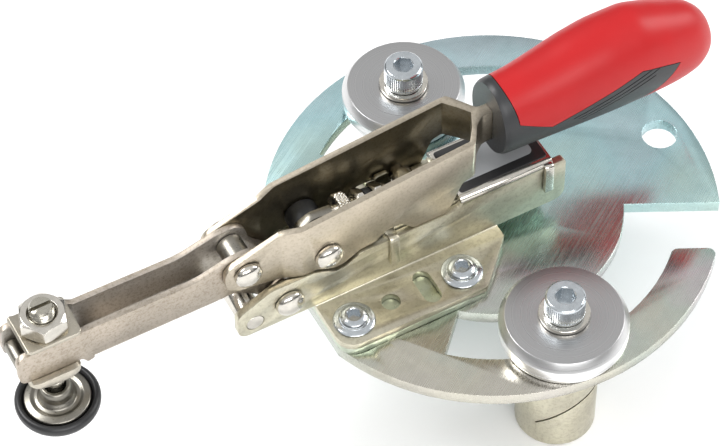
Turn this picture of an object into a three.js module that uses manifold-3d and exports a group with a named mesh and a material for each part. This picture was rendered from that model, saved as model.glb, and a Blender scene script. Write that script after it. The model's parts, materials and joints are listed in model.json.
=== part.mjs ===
// Wheel clamp: an over-centre toggle clamp on a slotted aluminium-bossed carrier disc.
// Millimetres, +Z up. X runs along the clamp: the arm reaches towards -X and the grip towards +X.
// The origin is the centre of the disc on its underside, which is the face that lies on the wheel.
// Heights in the outlines below are measured from the disc's top face.
import * as THREE from 'three';
import { mergeVertices } from 'three/addons/utils/BufferGeometryUtils.js';
import Module from 'manifold-3d';

const wasm = await Module();
wasm.setup();

const DEG = Math.PI / 180;
const GAP = 0.25; // left between faces that touch
const FIT = 0.2; // radial clearance of a shank in its hole

// ---- driving dimensions ------------------------------------------------------------------

const disc = { radius: 75, thick: 4.5, chordX: -70.5, axis: -2.1 };
const slot = { inner: 43.6, outer: 61, mouth: 18.5, from: 25.7, to: 131.7, corner: 2.5 };
const keyHole = { x: 64.5, y: -0.8, radius: 6 };

const web = { inner: 9, outer: 11.5, top: 23 };
const flange = { bottom: 3.5, top: 6, front: -71, rear: -4.6, edge: 31.4 };
const flangeScrews = [[-63, 22.5], [-23.8, 22.5]];

const pivotA = { x: -80, z: 14.5 }; // arm on the side plates
const pivotB = { x: -92.3, z: 34 }; // handle on the arm
const pivotC = { x: -65.4, z: 28.8 }; // link on the handle
const pivotD = { x: -31, z: 29.5 }; // link on the carrier
const frontSpacer = { x: -92.1, z: 11, radius: 3 };

const arm = { inner: 4.5, outer: 6.5, tipInner: 5.4, tipOuter: 7.4, floor: 22.2, sheet: 2, corner: 1.5 };
const strap = { frontInner: 6.7, frontOuter: 8.7, inner: 9, outer: 11 };
const spindleX = -156.3;
const armEndPin = { x: -166.2, z: 30 };

const boss = { radius: 20.8, face: 18.9, top: 10, neck: 5.2 };
const bossPlaces = { left: { angle: 94, reach: 52.8 }, right: { angle: -95.6, reach: 55.4 } };
const rimPin = { radius: 13.25, bottom: -45, offset: { x: -0.9, y: 0.5 } };

// ---- helpers ------------------------------------------------------------------------------

const flat = (x, y) => new THREE.Vector2(x, y);

// A closed outline from corners [x, y, fillet radius].
function outline(corners) {
  const count = corners.length;
  const points = [];
  corners.forEach(([x, y, radius = 0], i) => {
    const corner = flat(x, y);
    if (!radius) {
      points.push(corner);
      return;
    }
    const [bx, by] = corners[(i + count - 1) % count];
    const [ax, ay] = corners[(i + 1) % count];
    const before = flat(bx, by).sub(corner).normalize();
    const after = flat(ax, ay).sub(corner).normalize();
    const half = Math.acos(THREE.MathUtils.clamp(before.dot(after), -1, 1)) / 2;
    const middle = before.clone().add(after).normalize();
    const centre = corner.clone().addScaledVector(middle, radius / Math.sin(half));
    const start = corner.clone().addScaledVector(before, radius / Math.tan(half)).sub(centre);
    const end = corner.clone().addScaledVector(after, radius / Math.tan(half)).sub(centre);
    const turn = Math.atan2(start.cross(end), start.dot(end));
    const steps = Math.max(1, Math.ceil(Math.abs(turn) / (24 * DEG)));
    for (let k = 0; k <= steps; k += 1) {
      points.push(start.clone().rotateAround(flat(0, 0), (turn * k) / steps).add(centre));
    }
  });
  return points;
}

// Points along an arc about the origin, angles in degrees.
function arc(radius, from, to, steps) {
  return Array.from({ length: steps + 1 }, (_, k) => {
    const angle = (from + ((to - from) * k) / steps) * DEG;
    return flat(radius * Math.cos(angle), radius * Math.sin(angle));
  });
}

const mirrored = (corners) => corners.map(([x, y, ...rest]) => [x, -y, ...rest]).reverse();

function circle(x, y, radius, steps = 18) {
  return arc(radius, 0, 360 * (1 - 1 / steps), steps - 1).map((p) => p.add(flat(x, y)));
}

const hexagon = (width) => arc(width / Math.sqrt(3), 0, 300, 5);

function toSolid(geometry) {
  const bare = geometry.clone();
  bare.deleteAttribute('normal');
  bare.deleteAttribute('uv');
  const merged = mergeVertices(bare, 1e-4);
  const vertProperties = Float32Array.from(merged.attributes.position.array);
  const triVerts = Uint32Array.from(merged.index.array);
  return new wasm.Manifold(new wasm.Mesh({ numProp: 3, vertProperties, triVerts }));
}

function toGeometry(solid) {
  const { vertProperties, triVerts } = solid.getMesh();
  const geometry = new THREE.BufferGeometry();
  geometry.setAttribute('position', new THREE.BufferAttribute(vertProperties, 3));
  geometry.setIndex(new THREE.BufferAttribute(triVerts, 1));
  geometry.computeVertexNormals();
  return geometry;
}

// A plan outline (x, y) raised from one height to another.
function raised(points, from, to) {
  const shape = new THREE.Shape(points);
  const geometry = new THREE.ExtrudeGeometry(shape, { depth: to - from, bevelEnabled: false });
  return toSolid(geometry.translate(0, 0, from));
}

// A side outline (x, z) carried across the clamp from y = from to y = to.
function across(points, from, to) {
  const shape = new THREE.Shape(points);
  const geometry = new THREE.ExtrudeGeometry(shape, { depth: to - from, bevelEnabled: false });
  return toSolid(geometry.rotateX(Math.PI / 2).translate(0, to, 0));
}

// An end outline (y, z) carried along the clamp from x = from to x = to.
function along(points, from, to) {
  const shape = new THREE.Shape(points);
  const geometry = new THREE.ExtrudeGeometry(shape, { depth: to - from, bevelEnabled: false });
  return toSolid(geometry.rotateZ(Math.PI / 2).rotateY(Math.PI / 2).translate(from, 0, 0));
}

// Turned about a vertical axis. The profile [radius, height] starts and ends on the axis,
// lowest point first, or closes on itself.
function turned(profile, steps = 28) {
  const geometry = new THREE.LatheGeometry(profile.map(([r, h]) => flat(r, h)), steps);
  return toSolid(geometry.rotateX(Math.PI / 2));
}

// The same, turned about an axis across the clamp through (x, z).
function turnedAcross(profile, x, z, steps = 20) {
  const geometry = new THREE.LatheGeometry(profile.map(([r, h]) => flat(r, h)), steps);
  return toSolid(geometry.translate(x, 0, z));
}

const drill = (x, y, radius, from, to) => raised(circle(x, y, radius), from, to);
const drillAcross = (at, radius, reach) => across(circle(at.x, at.z, radius), -reach, reach);

const cut = (solid, ...tools) => tools.reduce((body, tool) => body.subtract(tool), solid);
const join = (first, ...others) => others.reduce((body, other) => body.add(other), first);

const model = new THREE.Group();
model.position.z = disc.thick;

const finish = {
  zinc: new THREE.MeshStandardMaterial({ color: 0xa9b3b0, roughness: 0.35, metalness: 0.9 }),
  satin: new THREE.MeshStandardMaterial({ color: 0xb7b09d, roughness: 0.45, metalness: 0.85 }),
  bright: new THREE.MeshStandardMaterial({ color: 0xcfcac2, roughness: 0.22, metalness: 1 }),
  screw: new THREE.MeshStandardMaterial({ color: 0xb4bdc4, roughness: 0.25, metalness: 1 }),
  alloy: new THREE.MeshStandardMaterial({ color: 0xb9bab9, roughness: 0.3, metalness: 0.95 }),
  red: new THREE.MeshStandardMaterial({ color: 0xdc2a30, roughness: 0.42, metalness: 0 }),
  black: new THREE.MeshStandardMaterial({ color: 0x25262a, roughness: 0.55, metalness: 0 }),
  rubber: new THREE.MeshStandardMaterial({ color: 0x18181a, roughness: 0.5, metalness: 0 }),
  label: new THREE.MeshStandardMaterial({ color: 0xb9bcbd, roughness: 0.5, metalness: 0 }),
};

function add(name, solid, material, parent = model) {
  const mesh = new THREE.Mesh(toGeometry(solid), material);
  mesh.name = name;
  parent.add(mesh);
  return mesh;
}

const sides = [['left', 1], ['right', -1]];

// ---- the disc -------------------------------------------------------------------------------

// One arc slot with its mouth in the rim. It is drawn about the radial line that bounds the
// mouth, then turned to its place; the other slot is its mirror image about the disc's axis.
function slotOutline() {
  const offset = slot.mouth + slot.corner;
  const rimReach = disc.radius - slot.corner;
  const ringReach = slot.outer + slot.corner;
  const rimX = Math.sqrt(rimReach ** 2 - offset ** 2);
  const ringX = Math.sqrt(ringReach ** 2 - offset ** 2);
  const rimAngle = Math.atan2(offset, rimX) / DEG;
  const ringAngle = Math.atan2(offset, ringX) / DEG;
  const end = slot.to - slot.from;
  const rounding = (x, from, to) => arc(slot.corner, from, to, 4).map((p) => p.add(flat(x, offset)));
  return [
    flat(disc.radius + 3, 0),
    flat(disc.radius + 3, 0).rotateAround(flat(0, 0), rimAngle * DEG),
    ...rounding(rimX, rimAngle, -90),
    ...rounding(ringX, -90, ringAngle - 180),
    ...arc(slot.outer, ringAngle, end, 20).slice(1),
    ...arc(slot.inner, end, 0, 22),
  ];
}

function discSolid() {
  const blank = raised(circle(0, 0, disc.radius, 96), -disc.thick, 0);
  const opening = slotOutline();
  const turn = (points, sign) => points.map((p) => {
    const placed = p.clone().rotateAround(flat(0, 0), slot.from * DEG);
    return flat(placed.x, placed.y * sign).rotateAround(flat(0, 0), disc.axis * DEG);
  });
  const farSlot = raised(turn(opening, 1), -disc.thick - 1, 1);
  const nearSlot = raised(turn(opening, -1).reverse(), -disc.thick - 1, 1);
  const chord = raised(
    [[-80, -80], [disc.chordX, -80], [disc.chordX, 80], [-80, 80]].map(([x, y]) => flat(x, y)),
    -disc.thick - 1,
    1,
  );
  const holes = [drill(keyHole.x, keyHole.y, keyHole.radius, -disc.thick - 1, 1)];
  sides.forEach(([, sign]) => flangeScrews.forEach(([x, y]) => {
    holes.push(drill(x, sign * y, 3 + FIT, -disc.thick - 1, 1));
  }));
  return cut(blank, farSlot, nearSlot, chord, ...holes);
}

add('base_disc', discSolid(), finish.zinc);

// ---- side plates, spacers and their screws ------------------------------------------------

const webOutline = outline([
  [-98.2, 6, 3.5], [20.6, 6, 4], [20.6, 25, 1.5], [-17, 24.7, 1], [-18.6, web.top, 1],
  [-54.8, web.top, 0.8], [-55.8, 21.6, 1.5], [-60.4, 19.2, 3], [-63.2, 19.2, 3],
  [-70.4, web.top, 1.5], [-86, web.top, 4], [-98, 16.8, 3],
]);

// Root of the flange: the sheet turns from the web into the flange with a small inner radius.
const bendSection = outline([
  [flange.edge, flange.bottom], [flange.edge, flange.top], [web.outer, flange.top, 0.6],
  [web.outer, 12], [web.inner, 12], [web.inner, flange.bottom, 3],
].reverse());

const flangeOutline = outline([
  [flange.front, 0], [flange.rear, 0], [flange.rear, 16.3, 1.5],
  [-19.5, flange.edge, 1.5], [flange.front, flange.edge, 6],
]);

const spacerOutline = outline([
  [flange.front + 0.4, 5.5, 1], [flange.rear - 0.4, 5.5, 1], [flange.rear - 0.4, 16, 1.5],
  [-19.6, flange.edge - 0.3, 1.5], [flange.front + 0.4, flange.edge - 0.3, 6],
]);

const oblong = outline([[-39.4, 15.5, 2.99], [-33.4, 15.5, 2.99], [-33.4, 28.8, 2.99], [-39.4, 28.8, 2.99]]);

const flipped = (solid, sign) => (sign > 0 ? solid : solid.mirror([0, 1, 0]));

sides.forEach(([side, sign]) => {
  const wall = across(webOutline, web.inner, web.outer);
  const foot = along(bendSection, flange.front, flange.rear).intersect(raised(flangeOutline, 0, 15));
  const holes = [
    drillAcross(pivotA, 4 + FIT, 20),
    drillAcross(frontSpacer, frontSpacer.radius + FIT, 20),
    drill(-49.3, 21.8, 3.15, 0, 10),
    raised(oblong, 0, 10),
    ...flangeScrews.map(([x, y]) => drill(x, y, 3 + FIT, 0, 10)),
  ];
  add(`clamp_side_${side}`, flipped(cut(join(wall, foot), ...holes), sign), finish.satin);

  const packing = raised(spacerOutline, GAP, flange.bottom - GAP);
  const packingHoles = flangeScrews.map(([x, y]) => drill(x, y, 3 + FIT, -1, 10));
  add(`spacer_plate_${side}`, flipped(cut(packing, ...packingHoles), sign), finish.satin);
});

// Flanged button screws: collar, dome, hexagon socket and a shank down into the disc.
function buttonScrew() {
  const seat = flange.top + GAP;
  const profile = [
    [0, -disc.thick + 0.3], [3, -disc.thick + 0.3], [3, seat], [6.85, seat],
    [6.85, seat + 0.9], [5.2, seat + 1.1], [4.7, seat + 2.2], [3, seat + 3.2], [0, seat + 3.3],
  ];
  return cut(turned(profile, 22), raised(hexagon(4), seat + 1.3, seat + 5));
}

sides.forEach(([side, sign]) => flangeScrews.forEach(([x, y], i) => {
  const end = i === 0 ? 'front' : 'rear';
  add(`flange_screw_${end}_${side}`, buttonScrew(), finish.screw).position.set(x, sign * y, 0);
}));

// ---- pieces between the side plates -----------------------------------------------------------

// A rivet across the clamp: shank radius, face it bears on, head radius and head height.
function rivet(at, shank, bearing, head, height) {
  const dome = [[shank, bearing], [head, bearing], [head, bearing + height * 0.25],
    [head * 0.84, bearing + height * 0.7], [head * 0.46, bearing + height * 0.95]];
  const upper = [...dome, [0, bearing + height]];
  const lower = upper.map(([r, h]) => [r, -h]).reverse();
  return turnedAcross([...lower, ...upper], at.x, at.z);
}

add('arm_pivot_rivet', rivet(pivotA, 4, web.outer + GAP, 4.9, 3.2), finish.bright);

sides.forEach(([side, sign]) => {
  const ring = turnedAcross(
    [[4 + FIT, arm.outer + GAP], [7.5, arm.outer + GAP], [7.5, web.inner - GAP], [4 + FIT, web.inner - GAP],
      [4 + FIT, arm.outer + GAP]],
    pivotA.x,
    pivotA.z,
  );
  add(`arm_washer_${side}`, flipped(ring, sign), finish.bright);
});

const spacerHalf = [[frontSpacer.radius, web.inner - GAP], [frontSpacer.radius, web.outer], [0, web.outer]];
const spacerProfile = [[4.4, -web.inner + GAP], [4.4, web.inner - GAP], ...spacerHalf];
add('front_spacer', turnedAcross(
  [...spacerHalf.map(([r, h]) => [r, -h]).reverse(), ...spacerProfile],
  frontSpacer.x,
  frontSpacer.z,
), finish.bright);

// The carrier is a channel between the side plates. Its front tabs fold out over their edges,
// and open saddles on its walls take the journals of the link's cross pin.
const carrier = { inner: 7.1, outer: 8.7, floor: 6.6, front: -45, rear: 17 };
const saddle = { front: -39.5, horn: -34, rear: -19, floor: 26.7, top: 31 };

function carrierSolid() {
  const section = outline([
    [-carrier.outer, saddle.top], [-carrier.outer, carrier.floor, 2.4],
    [carrier.outer, carrier.floor, 2.4], [carrier.outer, saddle.top], [carrier.inner, saddle.top],
    [carrier.inner, carrier.floor + 1.6, 0.8], [-carrier.inner, carrier.floor + 1.6, 0.8],
    [-carrier.inner, saddle.top],
  ]);
  const channel = along(section, carrier.front, carrier.rear);
  const side = outline([
    [carrier.front, carrier.floor], [carrier.rear, carrier.floor], [carrier.rear, 24.4],
    [saddle.rear, 24.4], [saddle.rear, saddle.floor, 0.8], [saddle.horn, saddle.floor, 1],
    [saddle.horn, saddle.top, 1], [saddle.front, saddle.top, 2], [saddle.front, 24.4, 1],
    [carrier.front, 24.4],
  ]);
  const walls = channel.intersect(across(side, -20, 20));
  const hook = outline([
    [carrier.inner, 20], [carrier.inner, 24.9, 1.8], [13.3, 24.9, 1.8], [13.3, 12, 0.6],
    [web.outer + GAP, 12, 0.4], [web.outer + GAP, web.top + GAP, 0.4],
    [carrier.outer, web.top + GAP], [carrier.outer, 20],
  ]);
  const tab = along(hook, -44.4, -41.2);
  return join(walls, tab, tab.mirror([0, 1, 0]));
}

add('link_carrier', carrierSolid(), finish.satin);

// The rear cover lies on the side plates and has tabs folded down outside them.
const cover = { front: -18, rear: 15.6, bottom: 25.3, top: 27.7, half: 11.6 };

function coverSolid() {
  const section = outline([
    [-cover.half, cover.bottom], [cover.half, cover.bottom], [cover.half, cover.top, 2.2],
    [-cover.half, cover.top, 2.2],
  ]);
  const lid = along(section, cover.front, cover.rear);
  const hook = outline([
    [9, cover.bottom], [web.outer + GAP, cover.bottom], [web.outer + GAP, 14, 0.4], [13.3, 14, 0.6],
    [13.3, cover.top - 0.9, 1.5], [9, cover.top - 0.9],
  ]);
  const tab = along(hook, 12.2, 15.2);
  return join(lid, tab, tab.mirror([0, 1, 0]));
}

add('rear_cover', coverSolid(), finish.bright);

const label = { front: -17, rear: 14.8, half: 9.3 };
const labelOutline = outline([
  [label.front, -label.half, 1], [label.rear, -label.half, 1], [label.rear, label.half, 1],
  [label.front, label.half, 1],
]);
add('cover_label', raised(labelOutline, cover.top + 0.05, cover.top + 0.35), finish.label);

// ---- the arm ----------------------------------------------------------------------------------

const armOutline = outline([
  [-169, 25.4, 2.5], [-148.4, 25.4, 1.5], [-146.6, arm.floor, 1.5], [-104, arm.floor, 6],
  [-97, 24.6, 7], [-87.2, 17, 6], [-87, 7.5, 6.9], [-73, 7.5, 6.9], [-73, 18, 6], [-85.4, 31, 8],
  [-86.2, 41, 6], [-96.5, 40.2, 9], [-109, 36.6, 14], [-145.2, 37.1, 1.5], [-147.2, 37.9, 1.5],
  [-169, 37.9, 3],
]);

// Plan of one wall: it steps outwards at the tip, where the channel has no floor.
const armWall = [
  [-172, arm.tipOuter], [-172, arm.tipInner], [-148, arm.tipInner, 2], [-144.5, arm.inner, 2],
  [-60, arm.inner], [-60, arm.outer], [-144.5, arm.outer, 2], [-148, arm.tipOuter, 2],
];

function armSolid() {
  const section = outline([
    [-arm.outer, arm.floor, arm.corner], [arm.outer, arm.floor, arm.corner], [arm.outer, 50], [arm.inner, 50],
    [arm.inner, arm.floor + arm.sheet, 0.8], [-arm.inner, arm.floor + arm.sheet, 0.8],
    [-arm.inner, 50], [-arm.outer, 50],
  ]);
  const trough = along(section, -145.4, -101);
  const farWall = raised(outline(armWall), 0, 50);
  const nearWall = raised(outline(mirrored(armWall)), 0, 50);
  const under = along(outline([[-20, 0], [20, 0], [20, arm.floor], [-20, arm.floor]]), -145.4, -101);
  const corner = (sign) => {
    const { outer, floor, corner: radius } = arm;
    const points = [[outer, floor], [outer - radius, floor], [outer - radius * 0.3, floor + radius * 0.3],
      [outer, floor + radius]].map(([y, z]) => flat(sign * y, z));
    return along(sign > 0 ? points.reverse() : points, -145.4, -101);
  };
  const body = join(trough, farWall, nearWall).intersect(across(armOutline, -20, 20));
  return cut(body, under, corner(1), corner(-1),
    drillAcross(pivotA, 4 + FIT, 20), drillAcross(pivotB, 3 + FIT, 20));
}

add('clamp_arm', armSolid(), finish.satin);

const bushHalf = arm.inner - GAP;
add('arm_bush', turnedAcross(
  [[3 + FIT, -bushHalf], [4.4, -bushHalf], [4.4, bushHalf], [3 + FIT, bushHalf], [3 + FIT, -bushHalf]],
  pivotB.x,
  pivotB.z,
), finish.bright);

const endPinHalf = arm.tipInner - GAP;
add('arm_end_pin', turnedAcross(
  [[0, -endPinHalf], [2.1, -endPinHalf], [2.5, -endPinHalf + 0.4], [2.5, endPinHalf - 0.4], [2.1, endPinHalf],
    [0, endPinHalf]],
  armEndPin.x,
  armEndPin.z,
), finish.bright);

// ---- spindle, its nuts and the swivel foot --------------------------------------------------

const tip = new THREE.Group();
tip.position.x = spindleX;
model.add(tip);

const SPINDLE_BORE = 4 + FIT;

// Upper saddle: a pressed plate across the arm's edges with its front edge turned up.
function upperSaddle() {
  const side = outline([
    [-8.6, 40.2], [-9.4, 39.4], [-7.4, 38.05], [9.2, 38.05], [9.2, 39.6], [-6.8, 39.6],
  ]);
  const plan = outline([[-10, -7.75, 2], [9.3, -7.75, 2], [9.3, 7.75, 2], [-10, 7.75, 2]]);
  const plate = across(side, -7.75, 7.75).intersect(raised(plan, 30, 45));
  return cut(plate, drill(0, 0, SPINDLE_BORE, 30, 45));
}

// Lower saddle: a plate under the arm with turned-down lips at its sides and a hub round the spindle.
function lowerSaddle() {
  const plan = outline([[-10.2, -9.6, 3], [7.2, -9.6, 3], [7.2, 9.6, 3], [-10.2, 9.6, 3]]);
  const plate = raised(plan, 20, 25.1);
  const hollow = across(outline([[-20, 18], [20, 18], [20, 23.3], [-20, 23.3]]), -7.8, 7.8);
  const lip = across(outline([
    [-10.2, 23.4], [-9, 25.1], [6, 25.1], [7.2, 24.2], [6.4, 22.6], [1, 21.6], [-4, 21.6],
  ]), -20, 20);
  const hub = turned([[0, 20.6], [5, 20.6], [5.6, 21.2], [5.6, 24], [0, 24]]);
  return cut(join(cut(plate.intersect(lip), hollow), hub), drill(0, 0, SPINDLE_BORE, 10, 30));
}

function hexNut(width, from, to, bore) {
  const crown = width / Math.sqrt(3);
  const barrel = turned([
    [0, from], [width / 2 - 0.2, from], [crown, from + 0.9], [crown, to - 0.9], [width / 2 - 0.2, to], [0, to],
  ]);
  return cut(raised(hexagon(width), from, to).intersect(barrel), drill(0, 0, bore, from - 1, to + 1));
}

add('saddle_washer_upper', upperSaddle(), finish.bright, tip);
add('saddle_washer_lower', lowerSaddle(), finish.bright, tip);
add('spindle_nut', hexNut(14, 39.85, 46.2, SPINDLE_BORE).rotate([0, 0, 10]), finish.bright, tip);

const ball = { z: 4.9, radius: 3.1 };

function spindleSolid() {
  const ballArc = Array.from({ length: 7 }, (_, k) => {
    const angle = (-90 + 22 * k) * DEG;
    return [ball.radius * Math.cos(angle), ball.z + ball.radius * Math.sin(angle)];
  });
  const shaft = turned([
    ...ballArc, [1.9, 8.6], [3.4, 10.2], [4, 12], [4, 48.6], [3.4, 49.4], [0, 49.4],
  ], 24);
  const slotCut = raised(outline([[-5, -0.6], [5, -0.6], [5, 0.6], [-5, 0.6]]), 47.4, 60);
  return cut(shaft, slotCut);
}

add('spindle', spindleSolid(), finish.bright, tip);

function footDisc() {
  const socket = ball.radius + 0.45;
  const inside = Array.from({ length: 6 }, (_, k) => {
    const angle = (42 - 26.4 * k) * DEG;
    return [Math.max(0, socket * Math.cos(angle)), ball.z + socket * Math.sin(angle)];
  });
  inside[5][0] = 0;
  return turned([
    [0, 0.3], [10.3, 0.3], [10.85, 0.9], [10.4, 1.7], [8.4, 2.2], [7.3, 1.9], [5.6, 3], [5.2, 4],
    [5.2, 6.6], [4.6, 7.5], [3.6, 7.8], ...inside,
  ]);
}

add('foot_disc', footDisc(), finish.bright, tip);
add('foot_rubber', turned([
  [0, -3.2], [11.6, -3.2], [13.1, -2.2], [13.7, -0.2], [13.5, 1.3], [12.7, 2.1], [11.8, 1.9], [11.3, 1],
  [10.9, 0], [0, 0],
]), finish.rubber, tip);

// ---- the handle ---------------------------------------------------------------------------------

const strapOutline = outline([
  [-99.8, 26.6, 6], [-93, 26.6, 8], [-79, 23.5, 8], [-69.6, 23.6, 2], [-63.6, 20.8, 4], [-60.2, 20.8, 4],
  [-54.4, 24.2, 2], [-48.8, 24.8, 2], [-44.8, 28.3, 3], [-39.2, 28, 2.5], [-35, 23.5, 2],
  [-22.6, 23.5, 1.5], [-17.4, 35.4, 3], [-10.5, 37.1, 0.6], [-3, 38.4, 3], [42, 40, 4], [42, 50, 4],
  [-3, 51.5, 3], [-10.5, 51.9, 1], [-60, 46.8, 30], [-79, 45.2, 10], [-99.8, 38.6, 5],
]);

// Plan of the strap: two walls that step inwards at the front, close together behind the
// pivots and run on as a double tang inside the grip.
const tang = 2.05;
const strapPlan = outline([
  [-104, -strap.frontOuter], [-80.6, -strap.frontOuter, 3], [-74.2, -strap.outer, 3],
  [-13, -strap.outer, 2.2], [-8.6, -4.4, 3], [-5.6, -tang, 2], [50, -tang], [50, tang],
  [-5.2, tang, 2], [-11.6, strap.outer - 0.2, 1.6], [-13.6, strap.outer, 1.6], [-74.2, strap.outer, 3],
  [-80.6, strap.frontOuter, 3], [-104, strap.frontOuter], [-104, strap.frontInner],
  [-79.8, strap.frontInner, 3], [-73.4, strap.inner, 3], [-13.8, strap.inner, 0.8], [-7.8, 0.9, 0.4],
  [-10.6, -4.6, 2], [-13.8, -strap.inner, 0.8], [-73.4, -strap.inner, 3], [-79.8, -strap.frontInner, 3],
  [-104, -strap.frontInner],
]);

add('handle_strap', cut(
  raised(strapPlan, 0, 60).intersect(across(strapOutline, -20, 20)),
  drillAcross(pivotB, 3 + FIT, 20),
  drillAcross(pivotC, 3 + FIT, 20),
), finish.satin);

add('handle_rivet_front', rivet(pivotB, 3, strap.frontOuter + GAP, 4.6, 3.2), finish.bright);
add('handle_rivet_rear', rivet(pivotC, 3, strap.outer + GAP, 4.7, 3.2), finish.bright);

// Grip sections across the clamp: station x, centre height, half width, half height.
const gripStations = [
  [-1.8, 46.6, 10.6, 13.6], [-0.4, 46.6, 11.2, 14.5], [7, 46.9, 11.4, 15.2], [18, 48, 12.3, 16.4],
  [29, 49.3, 13.2, 17.9], [39, 49.9, 13.6, 18.7], [48, 49.9, 13.5, 18.8], [57, 48.6, 12.9, 17.5],
  [64.5, 47.1, 11.8, 15.8], [71, 46, 10.2, 13.8], [75.4, 45, 7.8, 10.8], [77.8, 44.2, 5.4, 7.2],
  [79, 43.6, 2.5, 3.3],
];

function gripSolid() {
  const around = 28;
  const position = [];
  gripStations.forEach(([x, z, halfWidth, halfHeight]) => {
    for (let k = 0; k < around; k += 1) {
      const angle = (k / around) * 2 * Math.PI;
      position.push(x, halfWidth * Math.cos(angle), z + halfHeight * Math.sin(angle));
    }
  });
  const first = position.length / 3;
  const [frontX, frontZ] = gripStations[0];
  const [rearX, rearZ] = gripStations[gripStations.length - 1];
  position.push(frontX, 0, frontZ, rearX + 0.4, 0, rearZ);
  const index = [];
  for (let k = 0; k < around; k += 1) {
    const next = (k + 1) % around;
    for (let ring = 0; ring + 1 < gripStations.length; ring += 1) {
      const low = ring * around;
      const high = low + around;
      index.push(low + k, high + next, high + k, low + k, low + next, high + next);
    }
    const last = (gripStations.length - 1) * around;
    index.push(first, next, k, first + 1, last + k, last + next);
  }
  const vertProperties = Float32Array.from(position);
  const triVerts = Uint32Array.from(index);
  return new wasm.Manifold(new wasm.Mesh({ numProp: 3, vertProperties, triVerts }));
}

// The core is the collar at the strap, parted from the sleeve along a sloping line. From its
// lower half a tapering panel runs back along each flank of the sleeve.
const collarSide = (offset) => outline([
  [-20, 0], [14.5 + offset, 0], [14.5 + offset, 45], [3.2 + offset, 51.2], [2.9 + offset, 56],
  [1 + offset, 62], [0.4 + offset, 90], [-20, 90],
]);
const panelDepth = 7.8;
const panelSide = (inset) => outline([
  [10, 20], [36, 20 + inset], [44, 34.5 + inset, 6], [57, 44.2 + inset, 6],
  [61.6 - inset * 1.5, 50 - inset * 0.3, 0.6], [46.5, 54.9 - inset, 10], [14.5, 45 - inset], [10, 45 - inset],
]);

function gripPieces() {
  const whole = gripSolid();
  const tangRoom = across(outline([
    [-10, 37.2], [42.4, 39.6], [42.4, 50.4], [-10, 52.2],
  ]), -tang - GAP, tang + GAP);
  const both = (solid) => join(solid, solid.mirror([0, 1, 0]));
  const panels = both(across(panelSide(0.3), panelDepth + 0.15, 20));
  const pockets = both(across(panelSide(0), panelDepth - 0.15, 20));
  const core = whole.intersect(join(across(collarSide(-0.15), -20, 20), panels)).subtract(tangRoom);
  const sleeve = cut(whole, across(collarSide(0.15), -20, 20), pockets, tangRoom);
  return { core, sleeve };
}

const grip = gripPieces();
add('grip_core', grip.core, finish.black);
add('grip_overmould', grip.sleeve, finish.red);

// ---- the link -----------------------------------------------------------------------------------

// The link's frame has its origin at pivot C and its X axis parallel to the stud, which runs
// above the eye and ends in the cross pin at pivot D.
const studSlope = -5.5 * DEG;
const link = new THREE.Group();
link.position.set(pivotC.x, 0, pivotC.z);
link.rotation.y = -studSlope;
model.add(link);

const crossPin = flat(pivotD.x - pivotC.x, pivotD.z - pivotC.z).rotateAround(flat(0, 0), -studSlope);
const stud = { radius: 2.9, from: 5, lift: crossPin.y };

// A piece turned about the stud.
const onStud = (solid) => solid.rotate([0, 90, 0]).translate([0, 0, stud.lift]);
const rod = (radius, from, to, steps = 20) => onStud(turned([
  [0, from], [radius, from], [radius, to], [0, to],
], steps));

const eyeHalf = 1.6;

function eyeSolid() {
  const lug = outline([
    [-6.2, -6.2, 6.1], [6.2, -6.2, 6.1], [7, 0.6, 1], [7, 7.4, 1], [-1, 7.4, 4], [-6.2, 4, 4],
  ]);
  const eye = across(lug, -eyeHalf, eyeHalf);
  const shank = rod(stud.radius, stud.from, crossPin.x - 1);
  return cut(join(eye, shank), drillAcross({ x: 0, z: 0 }, 3 + FIT, 10));
}

// The cross pin: a thick middle on the stud's end and a journal at each side.
function trunnionSolid() {
  const half = [[4.2, 5], [2.4, 5], [2.4, carrier.outer - 0.3], [0, carrier.outer - 0.3]];
  const body = turnedAcross([...half.map(([r, h]) => [r, -h]).reverse(), ...half], crossPin.x, crossPin.y);
  return cut(body, rod(stud.radius + FIT, 15, crossPin.x - 0.7));
}

add('link_eye', eyeSolid(), finish.bright, link);
add('link_trunnion', trunnionSolid(), finish.bright, link);

sides.forEach(([side, sign]) => {
  const roller = turnedAcross([
    [3 + FIT, eyeHalf + GAP], [5.5, eyeHalf + GAP], [5.5, strap.inner - 0.4], [3 + FIT, strap.inner - 0.4],
    [3 + FIT, eyeHalf + GAP],
  ], 0, 0);
  add(`link_roller_${side}`, flipped(roller, sign), finish.black, link);
});

function knurledNut() {
  const teeth = 24;
  const rim = Array.from({ length: teeth * 2 }, (_, k) => {
    const radius = k % 2 ? 5.7 : 6.2;
    return flat(radius, 0).rotateAround(flat(0, 0), (k / teeth) * Math.PI);
  });
  const barrel = turned([[0, 8.2], [5.5, 8.2], [6.2, 8.8], [6.2, 11.8], [5.5, 12.4], [0, 12.4]]);
  return cut(raised(rim, 8, 13).intersect(barrel), drill(0, 0, stud.radius + FIT, 0, 20));
}

const studBore = stud.radius + FIT;
add('knurled_nut', onStud(knurledNut()), finish.bright, link);
add('lock_nut', onStud(hexNut(10, 14.8, 18, studBore)), finish.bright, link);
add('link_sleeve', onStud(turned([
  [studBore, 18.3], [4.6, 18.3], [4.6, 20.6], [studBore, 20.6], [studBore, 18.3],
], 20)), finish.black, link);
add('stop_nut', onStud(cut(hexNut(10, 20.9, 24.6, studBore).add(turned([
  [0, 24.4], [4.7, 24.4], [4.3, 26], [3.7, 26.8], [0, 26.8],
], 20)), drill(0, 0, studBore, 20, 30))), finish.bright, link);

// ---- bosses and rim pins ---------------------------------------------------------------------

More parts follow.
